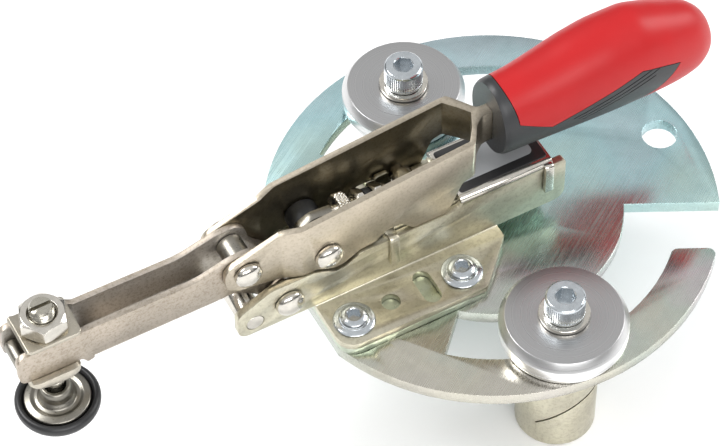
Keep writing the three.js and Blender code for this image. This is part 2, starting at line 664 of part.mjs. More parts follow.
function bossCap() {
  const body = turned([
    [0, -3.9], [boss.neck, -3.9], [boss.neck, GAP], [19.8, GAP], [19.8, 2.6], [boss.radius, 2.7],
    [boss.radius, 7], [boss.face, boss.top], [0, boss.top],
  ], 44);
  return cut(body, drill(0, 0, 4 + FIT, -10, 20));
}

function bossScrew() {
  const seat = boss.top + 2 * GAP + 1.6;
  const profile = [
    [0, -24], [3.6, -24], [4, -23.6], [4, seat], [6.5, seat], [6.5, seat + 7.3], [5.9, seat + 7.9],
    [0, seat + 7.9],
  ];
  return cut(turned(profile, 24), raised(hexagon(6), seat + 3.9, seat + 12));
}

// An eccentric pin with a thin sloping saw kerf and a blind threaded hole for the boss screw.
const kerf = { width: 0.6, slope: 44, heading: -61.3, height: -34.1, depth: 7 };

function rimPinSolid() {
  const top = -disc.thick - GAP;
  const body = turned([
    [0, rimPin.bottom], [rimPin.radius - 0.8, rimPin.bottom], [rimPin.radius, rimPin.bottom + 0.8],
    [rimPin.radius, top], [0, top],
  ], 36).translate([rimPin.offset.x, rimPin.offset.y, 0]);
  const blade = new THREE.BoxGeometry(40, 60, kerf.width).translate(20, 0, 0);
  blade.rotateY(-kerf.slope * DEG).rotateZ(kerf.heading * DEG);
  blade.translate(rimPin.offset.x, rimPin.offset.y, kerf.height);
  return cut(body, drill(0, 0, 4 + FIT, -26, 0), toSolid(blade));
}

sides.forEach(([side, sign]) => {
  const { angle, reach } = bossPlaces[side];
  const place = new THREE.Group();
  place.position.set(reach * Math.cos(angle * DEG), reach * Math.sin(angle * DEG), 0);
  model.add(place);
  const washerFrom = boss.top + GAP;
  add(`boss_cap_${side}`, bossCap(), finish.alloy, place);
  add(`boss_washer_${side}`, turned([
    [4 + FIT, washerFrom], [8.25, washerFrom], [8.25, washerFrom + 1.6], [4 + FIT, washerFrom + 1.6],
    [4 + FIT, washerFrom],
  ]), finish.bright, place);
  add(`boss_screw_${side}`, bossScrew(), finish.screw, place);
  add(`rim_pin_${side}`, flipped(rimPinSolid(), -sign), finish.satin, place);
});

export default model;
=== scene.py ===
"""Wheel clamp: surfaces, finely made pieces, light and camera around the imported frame."""
import json
import math

import bmesh
import bpy
from mathutils import Matrix, Vector


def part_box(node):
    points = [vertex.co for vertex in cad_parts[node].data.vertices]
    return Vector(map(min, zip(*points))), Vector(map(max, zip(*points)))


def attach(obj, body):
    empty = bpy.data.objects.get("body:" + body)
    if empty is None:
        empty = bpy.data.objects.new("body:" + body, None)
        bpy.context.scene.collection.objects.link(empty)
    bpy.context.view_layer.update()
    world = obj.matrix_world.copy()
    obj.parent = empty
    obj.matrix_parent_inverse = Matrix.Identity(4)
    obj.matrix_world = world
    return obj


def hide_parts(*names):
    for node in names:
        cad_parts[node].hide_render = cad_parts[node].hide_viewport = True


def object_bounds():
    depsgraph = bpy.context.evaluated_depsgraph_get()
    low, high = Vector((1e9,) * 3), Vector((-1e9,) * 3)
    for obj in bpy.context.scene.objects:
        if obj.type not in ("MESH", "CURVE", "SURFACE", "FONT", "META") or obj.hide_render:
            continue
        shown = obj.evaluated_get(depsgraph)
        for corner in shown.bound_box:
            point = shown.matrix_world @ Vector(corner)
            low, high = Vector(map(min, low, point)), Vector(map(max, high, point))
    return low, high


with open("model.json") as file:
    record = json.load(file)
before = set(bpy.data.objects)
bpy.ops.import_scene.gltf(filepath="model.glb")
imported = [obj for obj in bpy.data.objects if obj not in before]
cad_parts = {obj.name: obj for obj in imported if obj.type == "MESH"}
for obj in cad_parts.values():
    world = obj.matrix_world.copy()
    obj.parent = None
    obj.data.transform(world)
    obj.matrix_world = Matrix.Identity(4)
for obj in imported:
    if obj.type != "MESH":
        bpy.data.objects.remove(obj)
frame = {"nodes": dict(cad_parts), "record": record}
cad_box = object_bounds()
nodes = frame["nodes"]
body_of = {n: b for b, members in frame["record"]["behaviour"]["bodies"].items() for n in members}
slot_of = {s["node"]: s["material_slot"] for s in frame["record"]["subparts"]}

MM = 0.001
SIDES = ("left", "right")


def box_mm(node):
    """Lowest and highest corners of a node, in millimetres."""
    return [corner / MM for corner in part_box(node)]


# ---- camera ---------------------------------------------------------------------------------


def camera_matrix(place, heading, pitch, roll):
    """Looks along heading (from +Y towards +X) and down by pitch; roll turns the picture."""
    ahead = Vector((math.sin(heading) * math.cos(pitch), math.cos(heading) * math.cos(pitch),
                    -math.sin(pitch)))
    right = Vector((math.cos(heading), -math.sin(heading), 0))
    down = ahead.cross(right)
    turned_right = right * math.cos(roll) + down * math.sin(roll)
    turned_down = down * math.cos(roll) - right * math.sin(roll)
    turn = Matrix((turned_right, -turned_down, -ahead)).transposed()
    return Matrix.Translation(place) @ turn.to_4x4()


camera = bpy.data.objects.new("camera", bpy.data.cameras.new("camera"))
bpy.context.scene.collection.objects.link(camera)
camera.matrix_world = camera_matrix(Vector((-0.29574, -0.48537, 0.73282)), math.radians(27.0),
                                    math.radians(52.37), 0.029)
camera.data.lens = 140.54
camera.data.sensor_width = 36
camera.data.clip_start = 0.05
bpy.context.scene.camera = camera

# ---- material helpers -------------------------------------------------------------------------


class Surface:
    """A node material built step by step around one Principled shader."""

    def __init__(self, name, **inputs):
        self.material = bpy.data.materials.new(name)
        self.material.use_nodes = True
        self.nodes = self.material.node_tree.nodes
        self.links = self.material.node_tree.links
        self.shader = self.nodes["Principled BSDF"]
        for key, value in inputs.items():
            self.shader.inputs[key.replace("_", " ")].default_value = value
        coordinates = self.nodes.new("ShaderNodeTexCoord").outputs
        self.place = coordinates["Object"]
        self.facing = coordinates["Normal"]
        self.height = None

    def link(self, source, target):
        self.links.new(source, target)

    def node(self, kind, **inputs):
        made = self.nodes.new(kind)
        for key, value in inputs.items():
            made.inputs[key].default_value = value
        return made

    def math(self, operation, first, second=0.0, clamp=False):
        made = self.nodes.new("ShaderNodeMath")
        made.operation = operation
        made.use_clamp = clamp
        for socket, value in zip(made.inputs, (first, second)):
            if isinstance(value, (int, float)):
                socket.default_value = value
            else:
                self.link(value, socket)
        return made.outputs[0]

    def stretched(self, scale, turn=(0, 0, 0)):
        """Object coordinates in millimetres, turned and then scaled along each axis."""
        turned = self.node("ShaderNodeMapping", Rotation=[math.radians(a) for a in turn])
        self.link(self.place, turned.inputs["Vector"])
        mapping = self.node("ShaderNodeMapping", Scale=[s / MM for s in scale])
        self.link(turned.outputs["Vector"], mapping.inputs["Vector"])
        return mapping.outputs["Vector"]

    def noise(self, size, detail=3.0, rough=0.55, scale=(1, 1, 1), turn=(0, 0, 0)):
        """Noise whose features are about size millimetres across."""
        made = self.node("ShaderNodeTexNoise", Scale=1.0, Detail=detail, Roughness=rough)
        self.link(self.stretched([s / size for s in scale], turn), made.inputs["Vector"])
        return made.outputs["Fac"]

    def ramp(self, factor, stops):
        made = self.nodes.new("ShaderNodeValToRGB")
        elements = made.color_ramp.elements
        while len(elements) < len(stops):
            elements.new(0.5)
        for element, (at, colour) in zip(elements, stops):
            element.position = at
            element.color = (*colour, 1)
        self.link(factor, made.inputs["Fac"])
        return made.outputs["Color"]

    def level(self, factor, low, high, start=0.0, end=1.0):
        """A factor from start to end becomes a number from low to high."""
        made = self.node("ShaderNodeMapRange")
        for key, value in zip(("From Min", "From Max", "To Min", "To Max"), (start, end, low, high)):
            made.inputs[key].default_value = value
        self.link(factor, made.inputs["Value"])
        return made.outputs["Result"]

    def mix(self, factor, first, second, mode="MIX"):
        made = self.nodes.new("ShaderNodeMix")
        made.data_type = "RGBA"
        made.blend_type = mode
        for socket, value in ((made.inputs[0], factor), (made.inputs[6], first), (made.inputs[7], second)):
            if isinstance(value, (int, float)):
                socket.default_value = value
            elif isinstance(value, tuple):
                socket.default_value = (*value, 1)
            else:
                self.link(value, socket)
        return made.outputs[2]

    def colour(self, source):
        self.link(source, self.shader.inputs["Base Color"])

    def roughness(self, source):
        self.link(source, self.shader.inputs["Roughness"])

    def bump(self, height, depth):
        """Adds relief, depth in millimetres for a height of 1."""
        made = self.node("ShaderNodeBump", Distance=depth * MM)
        self.link(height, made.inputs["Height"])
        if self.height:
            self.link(self.height, made.inputs["Normal"])
        self.height = made.outputs["Normal"]
        self.link(self.height, self.shader.inputs["Normal"])

    def part_of(self, vector, letter):
        """One component of a vector."""
        split = self.nodes.new("ShaderNodeSeparateXYZ")
        self.link(vector, split.inputs[0])
        return split.outputs[letter]

    def axis(self, letter):
        """One object coordinate, in millimetres."""
        return self.math("MULTIPLY", self.part_of(self.place, letter), 1 / MM)

    def inner_painted_light_mask(self):
        """1 on faces that look towards the plane y = 0, falling to 0 on level and outer faces: the mask for
        painted shade and painted light on the inner faces.
        """
        gain = 1.4
        side = self.math("SIGN", self.part_of(self.place, "Y"))
        outward = self.math("MULTIPLY", self.part_of(self.facing, "Y"), side)
        return self.math("MULTIPLY", outward, -gain, clamp=True)

    def reach(self, x, y):
        """Distance in plan from the upright axis through (x, y), in millimetres."""
        across = self.math("POWER", self.math("SUBTRACT", self.axis("X"), x), 2)
        along = self.math("POWER", self.math("SUBTRACT", self.axis("Y"), y), 2)
        return self.math("SQRT", self.math("ADD", across, along))


def sheet_metal(name, tint, dark, rough=0.34, inside=None, specks=0.6):
    """Plated sheet: cloudy tint, mottled dark specks, faint rolling marks, and painted light on the inner
    faces: the inside tone is multiplied onto faces that look towards y = 0, as painted shade where it
    darkens and painted highlight where it lightens.
    """
    s = Surface(name, Metallic=1.0)
    base = s.ramp(s.noise(16, 4, 0.6), [(0.32, dark), (0.62, tint)])
    mottle = s.ramp(s.noise(1.1, 5, 0.75), [(0.36, (0.66, 0.63, 0.58)), (0.52, (1, 1, 1))])
    metal = s.mix(specks, base, mottle, "MULTIPLY")
    if inside:
        # painted shade and light: faces turned towards y = 0 take the inside tone in place of the light
        # that reaches into the channel
        metal = s.mix(s.inner_painted_light_mask(), metal, s.mix(1.0, metal, inside, "MULTIPLY"))
    s.colour(metal)
    rolling = s.noise(0.5, 3, 0.6, scale=(0.05, 1, 1))
    s.roughness(s.level(rolling, rough - 0.06, rough + 0.1, 0.3, 0.7))
    s.bump(s.noise(0.45, 4, 0.6), 0.004)
    s.bump(s.noise(7, 2, 0.5), 0.012)
    return s


def zinc_disc():
    """Zinc plate: a film that turns from warm grey to sea green, and brush marks towards the rear."""
    s = Surface("zinc_disc", Metallic=1.0)
    slant = s.math("ADD", s.math("MULTIPLY", s.axis("X"), 0.5), s.math("MULTIPLY", s.axis("Y"), 0.87))
    cloud = s.math("MULTIPLY", s.noise(34, 3, 0.5), 110)
    film = s.ramp(s.level(s.math("ADD", slant, cloud), 0, 1, -60, 130), [
        (0.05, (0.56, 0.53, 0.49)), (0.26, (0.57, 0.55, 0.47)), (0.36, (0.52, 0.56, 0.50)),
        (0.46, (0.57, 0.53, 0.54)), (0.56, (0.51, 0.66, 0.60)), (0.78, (0.46, 0.67, 0.70)),
        (0.95, (0.52, 0.64, 0.68)),
    ])
    clouds = s.ramp(s.noise(5, 4, 0.6), [(0.35, (0.8, 0.8, 0.8)), (0.6, (1, 1, 1))])
    s.colour(s.mix(0.35, film, clouds, "MULTIPLY"))
    brushed = s.noise(0.55, 3, 0.75, scale=(0.02, 1, 1), turn=(0, 0, -34))
    rear = s.level(s.axis("X"), 0.15, 1.0, -5, 45)
    marks = s.math("MULTIPLY", s.math("SUBTRACT", brushed, 0.5), rear)
    s.roughness(s.level(brushed, 0.2, 0.33, 0.3, 0.7))
    s.bump(marks, 0.006)
    s.bump(s.noise(0.3, 2, 0.5), 0.001)
    return s


def bright_metal(name, colour, rough):
    """Plated small parts with faint tumbling marks."""
    s = Surface(name, Metallic=1.0)
    s.colour(s.ramp(s.noise(2.5, 4, 0.6), [(0.3, tuple(c * 0.84 for c in colour)), (0.65, colour)]))
    s.roughness(s.level(s.noise(0.8, 3, 0.6), rough - 0.04, rough + 0.1, 0.3, 0.7))
    s.bump(s.noise(1.4, 3, 0.6), 0.0025)
    return s


def turned_alloy(name, x, y):
    """Bare aluminium with fine turning rings about the upright axis through (x, y), and painted light: the
    sides are painted pale, lighter than the top face.
    """
    s = Surface(name, Metallic=1.0)
    rings_per_mm = 3.2
    rings = s.node("ShaderNodeTexNoise", Scale=1.0, Detail=3.0, Roughness=0.7)
    rings.noise_dimensions = "1D"
    s.link(s.math("MULTIPLY", s.math("ADD", s.reach(x, y), s.axis("Z")), rings_per_mm),
           rings.inputs["W"])
    face = s.ramp(rings.outputs["Fac"], [(0.3, (0.4, 0.4, 0.405)), (0.7, (0.48, 0.48, 0.48))])
    # painted highlight: faces that are not level get a pale grey in place of the turned colour
    level = s.math("ABSOLUTE", s.part_of(s.facing, "Z"))
    s.colour(s.mix(level, (0.84, 0.84, 0.84), face))
    s.roughness(s.level(rings.outputs["Fac"], 0.26, 0.36, 0.3, 0.7))
    s.bump(rings.outputs["Fac"], 0.006)
    s.bump(s.noise(0.3, 3, 0.6), 0.0008)
    return s


def plastic(name, colour, rough, grain, **inputs):
    """Moulded plastic or rubber with a fine grain."""
    s = Surface(name, **inputs)
    s.colour(s.ramp(s.noise(20, 3, 0.5), [(0.3, tuple(c * 0.9 for c in colour)), (0.7, colour)]))
    s.roughness(s.level(s.noise(0.4, 2, 0.6), rough - 0.04, rough + 0.06, 0.3, 0.7))
    s.bump(s.noise(0.35, 3, 0.6), grain)
    return s


surfaces = {
    "zinc_plate": zinc_disc(),
    # inside: painted shade, the inner faces of the channel are darkened
    "satin_steel": sheet_metal("satin_nickel_sheet", (0.66, 0.63, 0.50), (0.50, 0.47, 0.38),
                               inside=(0.7, 0.7, 0.68)),
    "bright_nickel": bright_metal("bright_nickel", (0.66, 0.63, 0.57), 0.16),
    "screw_steel": bright_metal("screw_zinc", (0.58, 0.62, 0.65), 0.18),
    "red_plastic": plastic("red_grip", (0.45, 0.008, 0.010), 0.42, 0.003, Specular_IOR_Level=0.35),
    "black_plastic": plastic("anthracite_plastic", (0.021, 0.022, 0.024), 0.42, 0.004),
    "rubber": plastic("black_rubber", (0.014, 0.014, 0.015), 0.4, 0.003),
    "label": plastic("label_border", (0.02, 0.02, 0.021), 0.35, 0.001),
}
label_grey = plastic("label_panel", (0.3, 0.31, 0.32), 0.4, 0.001)
dull_nickel = bright_metal("dull_nickel", (0.29, 0.275, 0.24), 0.3)
saddle_sheet = bright_metal("saddle_sheet", (0.54, 0.50, 0.42), 0.3)
spacer_zinc = bright_metal("spacer_zinc", (0.58, 0.64, 0.52), 0.3)

# nodes whose surface differs from the rest of their material slot
special = {
    # inside: painted light, the arm's inner faces are made lighter and cooler than its outer faces
    "clamp_arm": sheet_metal("arm_sheet", (0.51, 0.45, 0.38), (0.43, 0.38, 0.32), 0.42,
                             inside=(1.35, 1.45, 1.6), specks=0.9),
    # inside: painted shade, the strap's inner faces are darkened
    "handle_strap": sheet_metal("strap_sheet", (0.54, 0.48, 0.39), (0.46, 0.41, 0.33),
                                inside=(0.62, 0.62, 0.56)),
    "saddle_washer_upper": saddle_sheet,
    "saddle_washer_lower": saddle_sheet,
    "spindle": bright_metal("spindle_nickel", (0.46, 0.44, 0.38), 0.26),
    "foot_disc": dull_nickel,
    "arm_bush": dull_nickel,
    "arm_end_pin": dull_nickel,
    "link_eye": dull_nickel,
}
for side in SIDES:
    cap_low, cap_high = box_mm(f"boss_cap_{side}")
    special[f"spacer_plate_{side}"] = spacer_zinc
    special[f"boss_cap_{side}"] = turned_alloy(f"turned_aluminium_{side}", (cap_low[0] + cap_high[0]) / 2,
                                               (cap_low[1] + cap_high[1]) / 2)


def surface_of(node):
    """The surface that a node's fine piece carries."""
    return special.get(node) or surfaces[slot_of[node]]


# ---- mesh helpers -------------------------------------------------------------------------------


def new_object(name, mesh, node, surface):
    """A piece that rides on the node's body and fills its material slot."""
    piece = bpy.data.objects.new(name, mesh)
    bpy.context.scene.collection.objects.link(piece)
    mesh.materials.clear()
    mesh.materials.append(surface.material)
    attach(piece, body_of[node])
    return piece


def smooth(mesh, angle=32):
    """Smooth shading, with edges steeper than the angle left sharp."""
    mesh.shade_smooth()
    mesh.set_sharp_from_angle(angle=math.radians(angle))
    return mesh


def rounded(piece, width, angle):
    """Rounds a piece's edges that are steeper than the angle."""
    bevel = piece.modifiers.new("edge", "BEVEL")
    bevel.width = width * MM
    bevel.segments = 2
    bevel.limit_method = "ANGLE"
    bevel.angle_limit = math.radians(angle)
    bevel.harden_normals = True


def refined(node, edge):
    """A node's own solid with its edges rounded by edge."""
    mesh = nodes[node].data.copy()
    mesh.name = f"{node}_fine"
    build = bmesh.new()
    build.from_mesh(mesh)
    bmesh.ops.remove_doubles(build, verts=build.verts, dist=1e-6)
    bmesh.ops.dissolve_limit(build, angle_limit=math.radians(1.5), verts=build.verts,
                             edges=build.edges)
    for face in build.faces:
        face.smooth = True
    build.to_mesh(mesh)
    build.free()
    piece = new_object(f"{node}_fine", mesh, node, surface_of(node))
    rounded(piece, edge, 38)
    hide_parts(node)


def made_mesh(name, points, faces):
    """A mesh from points in millimetres."""
    mesh = bpy.data.meshes.new(name)
    mesh.from_pydata([Vector(p) * MM for p in points], [], faces)
    build = bmesh.new()
    build.from_mesh(mesh)
    bmesh.ops.recalc_face_normals(build, faces=build.faces)
    build.to_mesh(mesh)
    build.free()
    return mesh


def softened(profile, radius=0.25):
    """A profile whose corners are rounded by short arcs."""
    points = [profile[0]]
    for before, corner, after in zip(profile, profile[1:], profile[2:]):
        here = Vector(corner)
        back = Vector(before) - here
        on = Vector(after) - here
        trim = min(radius, back.length * 0.4, on.length * 0.4)
        start = here + back.normalized() * trim
        end = here + on.normalized() * trim
        for k in range(4):
            t = k / 3
            points.append(tuple(start * (1 - t) ** 2 + here * (2 * t * (1 - t)) + end * t ** 2))
    return points + [profile[-1]]


def lathe(name, profile, steps=72, relief=None):
    """Turns [radius, height] points about Z; relief(angle, radius, height) alters the radius."""
    points = []
    rings = []
    for radius, height in profile:
        if radius < 1e-6:
            rings.append([len(points)] * steps)
            points.append((0, 0, height))
            continue
        rings.append(list(range(len(points), len(points) + steps)))
        for k in range(steps):
            angle = 2 * math.pi * k / steps
            reach = relief(angle, radius, height) if relief else radius
            points.append((reach * math.cos(angle), reach * math.sin(angle), height))
    faces = []
    for low, high in zip(rings, rings[1:]):
        for k in range(steps):
            n = (k + 1) % steps
            corners = [low[k], low[n], high[n], high[k]]
            face = [c for i, c in enumerate(corners) if c not in corners[:i]]
            if len(face) > 2:
                faces.append(face)
    if profile[0] == profile[-1] and profile[0][0] > 0:
        first, last = rings[0], rings[-1]
        faces = [[first[last.index(c)] if c in last else c for c in face] for face in faces]
    return made_mesh(name, points, faces)


def prism(name, outline, low, high, to_space):
    """An outline of flat points carried from low to high; to_space places (u, v, w)."""
    count = len(outline)
    points = [to_space(u, v, low) for u, v in outline] + [to_space(u, v, high) for u, v in outline]
    faces = [list(range(count)), list(range(count, 2 * count))]
    faces += [[k, (k + 1) % count, (k + 1) % count + count, k + count] for k in range(count)]
    return made_mesh(name, points, faces)


def carved(mesh, tool, operation="DIFFERENCE"):
    """The mesh after a boolean with the tool."""
    body = bpy.data.objects.new("body", mesh)
    cutter = bpy.data.objects.new("cutter", tool)
    for each in (body, cutter):
        bpy.context.scene.collection.objects.link(each)
    step = body.modifiers.new("carve", "BOOLEAN")
    step.operation = operation
    step.object = cutter
    step.solver = "EXACT"
    step.use_self = True
    result = bpy.data.meshes.new_from_object(
        body.evaluated_get(bpy.context.evaluated_depsgraph_get()))
    for each in (body, cutter):
        bpy.data.objects.remove(each)
    return result


def hexagon(width, turn):
    """Corners of a hexagon, width across its flats."""
    corner = width / math.sqrt(3)
    return [(corner * math.cos(math.radians(turn + 60 * k)), corner * math.sin(math.radians(turn + 60 * k)))
            for k in range(6)]


def upright(u, v, w):
    """Outline in plan, carried along Z."""
    return (u, v, w)


def sideways(u, v, w):
    """Outline seen from the side, carried along Y."""
    return (u, w, v)


def stood_at(mesh, node, axis="Z"):
    """Moves a mesh turned about its own Z onto the node's axis, heights from the node's low end."""
    low, high = (Vector(c) for c in box_mm(node))
    middle = (low + high) / 2
    turn = Matrix.Identity(4)
    if axis == "Z":
        place = Vector((middle.x, middle.y, low.z))
    else:
        place = Vector((middle.x, low.y, middle.z))
        turn = Matrix.Rotation(math.radians(-90), 4, "X")
    mesh.transform(Matrix.Translation(place * MM) @ turn)
    return mesh


def turned(node, profile, steps=72, relief=None, axis="Z", round_by=0.25, cutters=()):
    """A fine turned piece in place of a node; its profile starts at the node's low end."""
    mesh = lathe(f"{node}_fine", softened(profile, round_by), steps, relief)
    for cutter in cutters:
        mesh = carved(mesh, cutter)
    mesh = stood_at(mesh, node, axis)
    mesh.name = f"{node}_fine"
    piece = new_object(f"{node}_fine", smooth(mesh), node, surface_of(node))
    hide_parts(node)


# ---- turned pieces --------------------------------------------------------------------------------


def height_of(node, axis=2):
    """A node's extent along an axis."""
    low, high = box_mm(node)
    return high[axis] - low[axis]


def radius_of(node, axis=0):
    """Half of a node's extent along an axis."""
    low, high = box_mm(node)
    return (high[axis] - low[axis]) / 2


def helix(pitch, depth, first, last):
    """Thread relief between two heights, running out over half a pitch at each end."""
    def relief(angle, radius, height):
        inside = min(height - first, last - height)
        if inside <= 0:
            return radius
        turn = (height / pitch - angle / (2 * math.pi)) % 1
        return radius - depth * min(1, inside / pitch * 2) * (1 - abs(2 * turn - 1))
    return relief


def stepped(radius, low, high, step):
    """Points up a plain shank, close enough together to carry relief."""
    count = max(1, round((high - low) / step))
    return [(radius, low + (high - low) * k / count) for k in range(count + 1)]


def spindle():
    """Ball end, neck, M8 thread and a screwdriver slot."""
    total = height_of("spindle")
    ball = 3.1
    pitch = 1.25
    thread_start = 11
    profile = [(0, 0)]
    profile += [(ball * math.cos(a), ball + ball * math.sin(a)) for a in
                (math.radians(-90 + 9 * k) for k in range(1, 14))]
    profile += [(1.9, 6.7), (1.9, 7.4), (2.9, 8.2), (2.9, 8.7), (3.5, 9.2), (3.5, 9.9)]
    profile += stepped(4, 10.4, total - 0.7, 0.16) + [(3.35, total), (0, total)]
    mesh = lathe("spindle_fine", profile, 56, helix(pitch, 0.62, thread_start, total - 0.2))
    slot_depth = 2
    slot = [(-6, -0.6), (6, -0.6), (6, 0.6), (-6, 0.6)]
    mesh = carved(mesh, prism("slot", slot, total - slot_depth, total + 2, upright))
    piece = new_object("spindle_fine", smooth(stood_at(mesh, "spindle"), 50), "spindle",
                       surface_of("spindle"))
    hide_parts("spindle")


def spindle_nut():
    """Hexagon nut with round chamfers and a countersunk bore."""
    low, high = box_mm("spindle_nut")
    tall = high[2] - low[2]
    width = 14
    crown = width / math.sqrt(3)
    hexed = prism("spindle_nut_fine", hexagon(width, 10), 0, tall, upright)
    barrel = lathe("barrel", [(0, -0.01), (width / 2 - 0.35, -0.01), (crown + 0.1, 1.1),
                              (crown + 0.1, tall - 1.1), (width / 2 - 0.35, tall + 0.01),
                              (0, tall + 0.01)])
    bore = lathe("bore", [(0, -1), (5.4, -1), (4.2, 0.9), (4.2, tall - 0.8), (5.4, tall + 0.7),
                          (0, tall + 0.7)])
    mesh = carved(carved(hexed, barrel, "INTERSECT"), bore)
    spindle_x = sum(corner[0] for corner in box_mm("spindle")) / 2
    mesh.transform(Matrix.Translation(Vector((spindle_x, 0, low[2])) * MM))
    piece = new_object("spindle_nut_fine", smooth(mesh, 20), "spindle_nut", surfaces["bright_nickel"])
    rounded(piece, 0.12, 25)
    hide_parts("spindle_nut")


def foot():
    """Dished foot disc with a collar round the ball, in a rubber foot."""
    wide = radius_of("foot_disc")
    tall = height_of("foot_disc")
    middle = 4.6  # height of the ball's middle
    room = 3.5  # radius of the socket
    socket = [(3.4, tall), (room, tall - 1)]
    socket += [(room * math.cos(a), middle + room * math.sin(a)) for a in
               (math.radians(-15 * k) for k in range(6))]
    socket.append((0, middle - room))
    turned("foot_disc", [
        (0, 0), (wide - 0.5, 0), (wide, 0.5), (wide - 0.4, 1.25), (9.1, 1.75), (8.5, 1.95), (8, 1.7),
        (7.3, 1.35), (6.2, 1.75), (5.7, 2.6), (5.2, 3.3), (5.2, tall - 1.9), (4.9, tall - 0.7),
        (4.4, tall), *socket], 80)
    wide = radius_of("foot_rubber")
    turned("foot_rubber", [
        (0, 0), (wide - 2.3, 0), (wide - 0.7, 0.9), (wide, 2.6), (wide - 0.15, 4.3), (wide - 0.9, 5.1),
        (wide - 1.8, 5.2), (wide - 2.4, 4.3), (wide - 2.8, 3.2), (0, 3.2)], 80, round_by=0.8)


def rivet(node):
    """A dome-headed rivet across the clamp."""
    total = height_of(node, 1)
    head = radius_of(node)
    shank = head * 0.66
    dome = 3.2
    rim = 0.8
    curve = [(head * math.cos(a), rim + (dome - rim) * math.sin(a)) for a in
             (math.radians(9 * k) for k in range(11))]
    lower = [(0, 0)] + [(r, dome - h) for r, h in reversed(curve[:-1])] + [(head, dome), (shank, dome)]
    upper = [(r, total - h) for r, h in reversed(lower)]
    turned(node, lower + upper, 64, axis="Y", round_by=0.15)


def cross_cylinder(node, chamfer, bore=0.0):
    """A plain pin across the clamp, or a bush when it has a bore."""
    total = height_of(node, 1)
    wide = radius_of(node)
    outside = [(wide - chamfer, 0), (wide, chamfer), (wide, total - chamfer), (wide - chamfer, total)]
    if bore:
        profile = [(bore, 0), *outside, (bore, total), (bore, 0)]
        mesh = lathe(f"{node}_fine", profile, 56)
        piece = new_object(f"{node}_fine", smooth(stood_at(mesh, node, "Y")), node,
                           surface_of(node))
        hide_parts(node)
        return
    turned(node, [(0, 0), *outside, (0, total)], 56, axis="Y", round_by=0.1)


def flange_screw(node):
    """Flanged button screw with a hexagon socket."""
    total = height_of(node)
    head_height = 3.3
    head = total - head_height
    wide = radius_of(node, 1)
    dome = [(4.9, head + 1.15), (4.75, head + 1.8), (4.3, head + 2.5), (3.6, head + 3), (2.9, total)]
    socket = prism("socket", hexagon(4, 15), total - 2, total + 1, upright)
    rim = lathe("rim", [(0, total - 0.25), (2.15, total - 0.25), (2.7, total + 0.3), (0, total + 0.3)])
    turned(node, [(0, 0), (3, 0), (3, head), (wide - 0.2, head), (wide, head + 0.35),
                  (wide - 0.5, head + 0.75), (5.6, head + 1), *dome, (0, total)], 72, round_by=0.18,
           cutters=(socket, rim))


def boss(side):
    """Turned boss, its washer and its knurled cap screw."""
    bore = 4.2
    neck = 5.2
    cap = f"boss_cap_{side}"
    wide = radius_of(cap)
    tall = height_of(cap)
    turned(cap, [
        (bore, 0), (neck, 0), (neck, 4.15), (wide - 1.2, 4.15), (wide - 1, 4.4), (wide - 1, 6.4),
        (wide - 0.15, 6.6), (wide, 6.8), (wide, 7.4), (wide - 0.12, 7.5), (wide, 7.6), (wide, 10.8),
        (wide - 1.9, tall), (bore, tall), (bore, 0)], 128, round_by=0.15)
    washer = f"boss_washer_{side}"
    wide = radius_of(washer)
    tall = height_of(washer)
    turned(washer, [(bore, 0), (wide, 0), (wide, tall), (bore, tall), (bore, 0)], 72)
    screw = f"boss_screw_{side}"
    total = height_of(screw)
    wide = radius_of(screw)
    flutes = 52

    def knurl(angle, radius, height):
        plain = height < total - 7 or height > total - 1.1 or radius < wide - 0.3
        return radius if plain else radius - 0.09 * (1 + math.cos(angle * flutes))

    head = [(wide, total - 7.9), (wide, total - 7.1), (wide, total - 6.9), (wide, total - 1.2),
            (wide, total - 1), (wide - 0.15, total - 0.5), (wide - 0.7, total)]
    socket = prism("socket", hexagon(6, 20), total - 4, total + 1, upright)
    rim = lathe("rim", [(0, total - 0.2), (3.2, total - 0.2), (3.7, total + 0.3), (0, total + 0.3)])
    turned(screw, [(0, 0), (3.6, 0), (4, 0.4), (4, total - 7.9), *head, (0, total)], 208, knurl,
           round_by=0.08, cutters=(socket, rim))


# ---- pieces on the link's stud --------------------------------------------------------------------

adjuster = next(j for j in frame["record"]["behaviour"]["joints"] if j["name"] == "adjuster_spin")
stud_axis = Vector(adjuster["axis"])
stud_point = Vector(adjuster["pos_m"]) / MM


def along_stud(mesh, start):
    """Moves a mesh turned about Z onto the stud, with its low end at start, in millimetres."""
    turn = stud_axis.to_track_quat("Z", "Y").to_matrix().to_4x4()
    mesh.transform(Matrix.Translation(start * MM) @ turn)
    return mesh


def knurled_nut():
    """Diamond-knurled adjusting nut."""
    low, high = (Vector(c) for c in box_mm("knurled_nut"))
    middle = (low + high) / 2
    length = 4.2
    wide = 6.2
    flutes = 14
    lead = 2.4

    def diamond(angle, radius, height):
        if radius < wide - 0.05:
            return radius
        one = abs(math.sin(angle * flutes + height * lead))
        other = abs(math.sin(angle * flutes - height * lead))
        return radius - 0.55 * (1 - min(one, other))

    profile = [(3.1, 0), (5.4, 0), *stepped(wide, 0.6, length - 0.6, 0.12), (5.4, length), (3.1, length),
               (3.1, 0)]
    mesh = lathe("knurled_nut_fine", profile, 168, diamond)
    start = middle - stud_axis * length / 2
    piece = new_object("knurled_nut_fine", smooth(along_stud(mesh, start), 60), "knurled_nut",
                       surfaces["bright_nickel"])
    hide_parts("knurled_nut")


def stud_thread():
    """M6 thread over the stud's plain shank."""
    length = 26
    gap = 3  # from the thread's end to the adjuster's joint
    profile = [(0, 0), (2.92, 0), *stepped(3.08, 0.2, length - 0.2, 0.14), (2.92, length), (0, length)]
    mesh = lathe("link_stud_thread", profile, 40, helix(1.0, 0.14, 0, length))
    start = stud_point - stud_axis * (length + gap)
    new_object("link_stud_thread", smooth(along_stud(mesh, start), 50), "link_eye",
               surfaces["bright_nickel"])


# ---- grip -----------------------------------------------------------------------------------------


